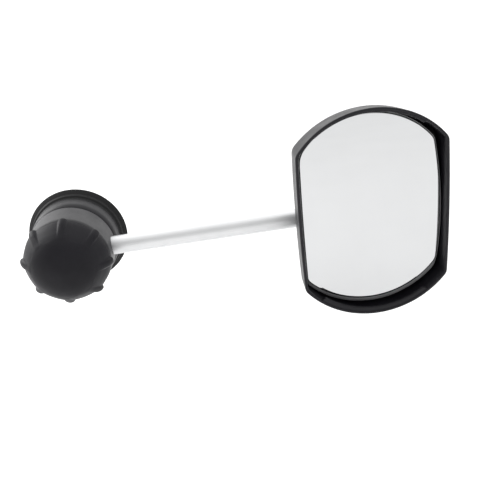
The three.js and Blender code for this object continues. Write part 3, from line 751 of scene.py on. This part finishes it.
glass_steps = [
    (0.5, 71.9), (0.994, 71.9), (0.999, 72.1), (1.0, 72.5), (1.0, 73.4), (0.9985, 73.8), (0.995, 74.02),
    (0.990, 74.1), (0.98, 74.1),
] + [(1 - k / 14, 74.1) for k in range(1, 14)]
glass_rings = [[on_head(0, GLASS_RAISE, 71.9)]]
glass_rings += [curved_ring(glass_line, factor, z) for factor, z in glass_steps]
glass_rings += [[on_head(0, GLASS_RAISE, 74.1)]]
glass = show("convex_glass", skin(glass_rings), "head", silver, ["mirror_glass"], sharp=60)
glass.data.materials.append(glass_edge)
for face in glass.data.polygons:
    if abs(face.normal.y) < 0.6:
        face.material_index = 1


# ---- CAD nodes that keep their own shape ----

kept = {
    "pivot_washer": (white_nylon, "bearing_nylon"),
    "thrust_washer": (steel, "fastener_steel"),
    "lift_stud": (steel, "fastener_steel"),
    "lift_plate": (steel, "fastener_steel"),
    "knob_nut": (steel, "fastener_steel"),
    "housing_plate": (arm_plastic, "arm_plastic"),
    "tube_pin": (steel, "fastener_steel"),
    "spindle_pin": (steel, "fastener_steel"),
    "spindle_washer": (steel, "fastener_steel"),
    "spindle_screw": (steel, "fastener_steel"),
    "liner_upper": (white_nylon, "bearing_nylon"),
    "liner_lower": (white_nylon, "bearing_nylon"),
    "foam_pad": (foam, "foam"),
}
for group, count in (("plate_screw", 3), ("clamp_nut", 4), ("base_screw", 3), ("carrier_screw", 4)):
    for number in range(1, count + 1):
        kept[f"{group}_{number}"] = (steel, "fastener_steel")
for name, (material, slot) in kept.items():
    node = frame["nodes"][name]
    node.data.materials.clear()
    node.data.materials.append(material)


# ---- floor, lights and camera ----

FLOOR = -150 * MM  # clear of the head when it is rolled or swung over, so its shadow is faint


def floor_material():
    paint = Paint("floor_paper")
    paint.colour(paint.noise(6, detail=4), (0.9, 0.9, 0.9), (0.92, 0.92, 0.92))
    paint.roughness(paint.ranged(paint.noise(40), 0.85, 0.95))
    return paint.material


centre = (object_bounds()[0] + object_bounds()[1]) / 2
rings = [[Vector((centre.x + r * math.cos(a), centre.y + r * math.sin(a), FLOOR))
          for a in (2 * math.pi * i / 96 for i in range(96))] for r in (0.6, 2.0, 12.0, 60.0)]
floor_mesh = skin([[Vector((centre.x, centre.y, FLOOR))], *rings])
floor_mesh.materials.append(floor_material())
floor = bpy.data.objects.new("floor", floor_mesh)
bpy.context.scene.collection.objects.link(floor)


def softbox(name, place, target, width, height, power):
    light = bpy.data.lights.new(name, "AREA")
    light.shape = "RECTANGLE"
    light.size, light.size_y = width, height
    light.energy = power
    lamp = bpy.data.objects.new(name, light)
    lamp.location = place
    lamp.rotation_mode = "QUATERNION"
    lamp.rotation_quaternion = (Vector(target) - Vector(place)).to_track_quat("-Z", "Y")
    bpy.context.scene.collection.objects.link(lamp)


softbox("left_side", (centre.x - 1.1, centre.y + 0.5, 0.7), centre, 0.9, 0.9, 10)

sky = bpy.data.lights.new("overhead", "SUN")
sky.energy = 0.3
sky.angle = math.radians(100)
lamp = bpy.data.objects.new("overhead", sky)
lamp.rotation_euler = (math.radians(-12), 0, 0)
bpy.context.scene.collection.objects.link(lamp)

# The studio is brighter on the far side, and dimmer behind the camera.
world = bpy.data.worlds.new("studio")
bpy.context.scene.world = world
world.use_nodes = True
backdrop = world.node_tree.nodes["Background"]
backdrop.inputs["Color"].default_value = (1, 1, 1, 1)
direction = world.node_tree.nodes.new("ShaderNodeTexCoord")
split = world.node_tree.nodes.new("ShaderNodeSeparateXYZ")
fade = world.node_tree.nodes.new("ShaderNodeMapRange")
fade.interpolation_type = "SMOOTHSTEP"
for socket, number in (("From Min", -0.9), ("From Max", 0.5), ("To Min", 0.75), ("To Max", 1.5)):
    fade.inputs[socket].default_value = number
world.node_tree.links.new(direction.outputs["Generated"], split.inputs[0])
world.node_tree.links.new(split.outputs["Y"], fade.inputs["Value"])
world.node_tree.links.new(fade.outputs[0], backdrop.inputs["Strength"])

# The camera is to the left of the head, in front of it and above it.
camera_data = bpy.data.cameras.new("camera")
camera_data.sensor_width = 36
camera_data.lens = 45
camera = bpy.data.objects.new("camera", camera_data)
bpy.context.scene.collection.objects.link(camera)
camera.location = Vector((131.41, -525.33, 188.24)) * MM
right = Vector((0.98871, -0.0806, -0.12631))
up = Vector((0.14744, 0.37346, 0.91585))
back = right.cross(up)
camera.rotation_mode = "QUATERNION"
camera.rotation_quaternion = Matrix((right, up, back)).transposed().to_quaternion()
bpy.context.scene.camera = camera
bpy.context.scene.view_settings.view_transform = "Standard"
